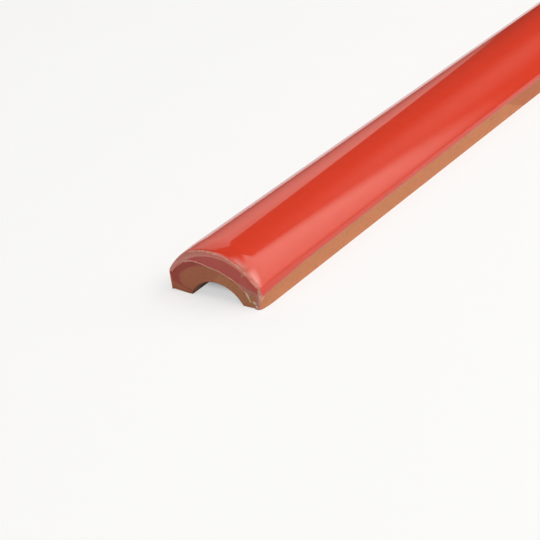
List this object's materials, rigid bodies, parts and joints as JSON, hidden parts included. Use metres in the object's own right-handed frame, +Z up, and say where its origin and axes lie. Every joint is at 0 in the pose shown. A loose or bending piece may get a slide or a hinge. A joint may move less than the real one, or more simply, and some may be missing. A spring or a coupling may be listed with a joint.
{
  "type": "pencil trim tile",
  "caption": "Narrow glazed ceramic edging tile with a low half-round crown, upright flanks, bare clay below the glaze and a round hollow along its back.",
  "frame": {"origin": "middle of the flat bed that the tile rests on, under the middle of its length and width", "axes": "+X along the tile's length, +Y across it, +Z up out of the glazed crown"},
  "size_m": [0.2, 0.02, 0.01],
  "materials": {
    "glazed_clay": "glossy tomato-red glaze over the crown, the upper flanks and the tops of the ends, on a matt brown clay body that is bare below"
  },
  "bodies": {
    "root": {"pencil_trim_tile": "glazed_clay"}
  },
  "joints": []
}
